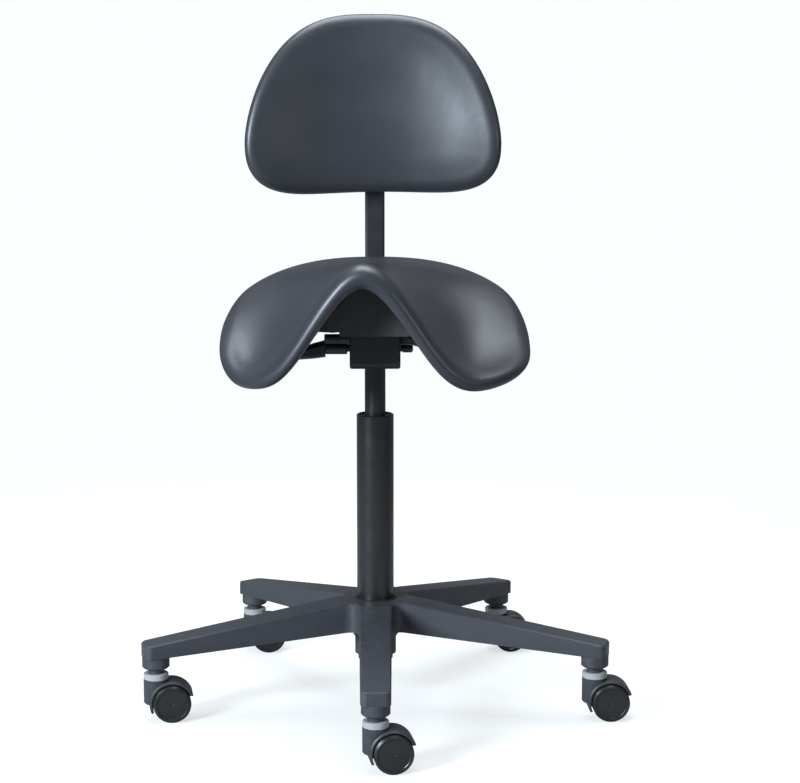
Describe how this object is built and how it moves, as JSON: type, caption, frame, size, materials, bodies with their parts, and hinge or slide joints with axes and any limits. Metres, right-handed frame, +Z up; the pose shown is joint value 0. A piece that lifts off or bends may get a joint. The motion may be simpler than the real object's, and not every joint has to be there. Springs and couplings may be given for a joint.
{
  "type": "saddle stool",
  "caption": "Height-adjustable saddle stool with a curved backrest, tilt mechanism, gas lift and a five-arm base on twin-wheel casters.",
  "frame": {"origin": "on the floor under the column's axis", "axes": "+Z up, -Y towards the seat's front, +X to the right of the picture"},
  "size_m": [0.6509, 0.6023, 0.9315],
  "materials": {
    "black_plastic": "satin",
    "black_metal": "satin",
    "steel": "satin",
    "grey_plastic": "matte",
    "wheel_plastic": "gloss",
    "soft_skin": "satin",
    "pan_plastic": "matte",
    "black_rubber": "matte"
  },
  "bodies": {
    "base": {"star_base": "black_plastic", "column_tube": "black_metal", "guide_bush": "black_plastic", "caster_stems": "steel"},
    "caster_1": {"caster_1_hood": "black_plastic", "caster_1_collar": "grey_plastic"},
    "caster_1_wheel_left": {"caster_1_wheel_left": "wheel_plastic"},
    "caster_1_wheel_right": {"caster_1_wheel_right": "wheel_plastic"},
    "caster_2": {"caster_2_hood": "black_plastic", "caster_2_collar": "grey_plastic"},
    "caster_2_wheel_left": {"caster_2_wheel_left": "wheel_plastic"},
    "caster_2_wheel_right": {"caster_2_wheel_right": "wheel_plastic"},
    "caster_3": {"caster_3_hood": "black_plastic", "caster_3_collar": "grey_plastic"},
    "caster_3_wheel_left": {"caster_3_wheel_left": "wheel_plastic"},
    "caster_3_wheel_right": {"caster_3_wheel_right": "wheel_plastic"},
    "caster_4": {"caster_4_hood": "black_plastic", "caster_4_collar": "grey_plastic"},
    "caster_4_wheel_left": {"caster_4_wheel_left": "wheel_plastic"},
    "caster_4_wheel_right": {"caster_4_wheel_right": "wheel_plastic"},
    "caster_5": {"caster_5_hood": "black_plastic", "caster_5_collar": "grey_plastic"},
    "caster_5_wheel_left": {"caster_5_wheel_left": "wheel_plastic"},
    "caster_5_wheel_right": {"caster_5_wheel_right": "wheel_plastic"},
    "column_rod": {"piston_rod": "steel", "gas_piston": "steel", "thrust_bearing": "steel", "thrust_washers": "steel", "bump_stop": "black_rubber", "retaining_clip": "steel"},
    "lift": {"gas_cylinder": "black_metal", "cylinder_gland": "steel", "taper_socket": "black_metal", "mech_housing": "black_metal", "tilt_axle": "steel", "axle_rings": "steel", "lock_washers": "steel", "return_spring": "steel"},
    "valve": {"valve_pin": "steel"},
    "height_lever": {"height_lever": "steel", "lever_grip": "black_plastic", "rod_cap": "black_plastic"},
    "tilt_lever": {"lock_shaft": "steel", "tilt_paddle": "black_plastic"},
    "tension_knob": {"tension_knob": "black_plastic"},
    "seat": {"seat_plate": "black_metal", "axle_bushes": "black_plastic", "seat_screws": "steel", "seat_pan": "pan_plastic", "seat_cushion": "soft_skin", "back_bar": "black_metal", "bar_clamp": "black_metal", "bar_screws": "steel"},
    "backrest": {"backrest_cushion": "soft_skin", "back_plate": "black_metal", "back_screws": "steel", "back_carrier": "black_plastic"},
    "clamp_knob": {"clamp_knob": "black_plastic"}
  },
  "joints": [
    {"name": "caster_1_swivel", "type": "hinge", "parent": "base", "child": "caster_1", "pos_m": [0, -0.306, 0.05], "axis": [0, 0, 1], "continuous": true},
    {"name": "caster_1_wheel_left_roll", "type": "hinge", "parent": "caster_1", "child": "caster_1_wheel_left", "pos_m": [0.0198, -0.30322, 0.025], "axis": [-0.1392, 0.9903, 0], "continuous": true},
    {"name": "caster_1_wheel_right_roll", "type": "hinge", "parent": "caster_1", "child": "caster_1_wheel_right", "pos_m": [0.0198, -0.30322, 0.025], "axis": [-0.1392, 0.9903, 0], "continuous": true},
    {"name": "caster_2_swivel", "type": "hinge", "parent": "base", "child": "caster_2", "pos_m": [0.29102, -0.09456, 0.05], "axis": [0, 0, 1], "continuous": true},
    {"name": "caster_2_wheel_left_roll", "type": "hinge", "parent": "caster_2", "child": "caster_2_wheel_left", "pos_m": [0.31101, -0.09386, 0.025], "axis": [-0.0349, 0.9994, 0], "continuous": true},
    {"name": "caster_2_wheel_right_roll", "type": "hinge", "parent": "caster_2", "child": "caster_2_wheel_right", "pos_m": [0.31101, -0.09386, 0.025], "axis": [-0.0349, 0.9994, 0], "continuous": true},
    {"name": "caster_3_swivel", "type": "hinge", "parent": "base", "child": "caster_3", "pos_m": [0.17986, 0.24756, 0.05], "axis": [0, 0, 1], "continuous": true},
    {"name": "caster_3_wheel_left_roll", "type": "hinge", "parent": "caster_3", "child": "caster_3_wheel_left", "pos_m": [0.19979, 0.2493, 0.025], "axis": [-0.0872, 0.9962, 0], "continuous": true},
    {"name": "caster_3_wheel_right_roll", "type": "hinge", "parent": "caster_3", "child": "caster_3_wheel_right", "pos_m": [0.19979, 0.2493, 0.025], "axis": [-0.0872, 0.9962, 0], "continuous": true},
    {"name": "caster_4_swivel", "type": "hinge", "parent": "base", "child": "caster_4", "pos_m": [-0.17986, 0.24756, 0.05], "axis": [0, 0, 1], "continuous": true},
    {"name": "caster_4_wheel_left_roll", "type": "hinge", "parent": "caster_4", "child": "caster_4_wheel_left", "pos_m": [-0.15994, 0.2493, 0.025], "axis": [-0.0872, 0.9962, 0], "continuous": true},
    {"name": "caster_4_wheel_right_roll", "type": "hinge", "parent": "caster_4", "child": "caster_4_wheel_right", "pos_m": [-0.15994, 0.2493, 0.025], "axis": [-0.0872, 0.9962, 0], "continuous": true},
    {"name": "caster_5_swivel", "type": "hinge", "parent": "base", "child": "caster_5", "pos_m": [-0.29102, -0.09456, 0.05], "axis": [0, 0, 1], "continuous": true},
    {"name": "caster_5_wheel_left_roll", "type": "hinge", "parent": "caster_5", "child": "caster_5_wheel_left", "pos_m": [-0.27124, -0.0916, 0.025], "axis": [-0.1478, 0.989, 0], "continuous": true},
    {"name": "caster_5_wheel_right_roll", "type": "hinge", "parent": "caster_5", "child": "caster_5_wheel_right", "pos_m": [-0.27124, -0.0916, 0.025], "axis": [-0.1478, 0.989, 0], "continuous": true},
    {"name": "seat_swivel", "type": "hinge", "parent": "base", "child": "column_rod", "pos_m": [0, 0, 0.06], "axis": [0, 0, 1], "continuous": true},
    {"name": "seat_lift", "type": "slide", "parent": "column_rod", "child": "lift", "axis": [0, 0, 1], "range_m": [-0.05, 0.13]},
    {"name": "valve_press", "type": "slide", "parent": "lift", "child": "valve", "axis": [0, 0, -1], "range_m": [0, 0.0033]},
    {"name": "height_lever_turn", "type": "hinge", "parent": "lift", "child": "height_lever", "pos_m": [0, -0.026, 0.488], "axis": [-1, 0, 0], "range_deg": [0, 6], "stiffness_Nm_per_rad": 1, "springref_deg": -14.32},
    {"name": "tilt_lever_turn", "type": "hinge", "parent": "lift", "child": "tilt_lever", "pos_m": [0, -0.044, 0.503], "axis": [1, 0, 0], "range_deg": [0, 25]},
    {"name": "tension_knob_turn", "type": "hinge", "parent": "lift", "child": "tension_knob", "pos_m": [0, -0.044, 0.503], "axis": [1, 0, 0], "continuous": true},
    {"name": "seat_tilt", "type": "hinge", "parent": "lift", "child": "seat", "pos_m": [0, 0.038, 0.492], "axis": [-1, 0, 0], "range_deg": [0, 12], "stiffness_Nm_per_rad": 40, "springref_deg": -8.59, "deforming": ["return_spring"]},
    {"name": "backrest_slide", "type": "slide", "parent": "seat", "child": "backrest", "axis": [0, -0.1392, 0.9903], "range_m": [-0.03, 0.025]},
    {"name": "clamp_knob_turn", "type": "hinge", "parent": "backrest", "child": "clamp_knob", "pos_m": [0, 0.18042, 0.777], "axis": [0, 0.9903, 0.1392], "continuous": true}
  ],
  "couplings": [
    {"joint": "valve_press", "follows": "height_lever_turn", "m_per_rad": 0.0302}
  ]
}
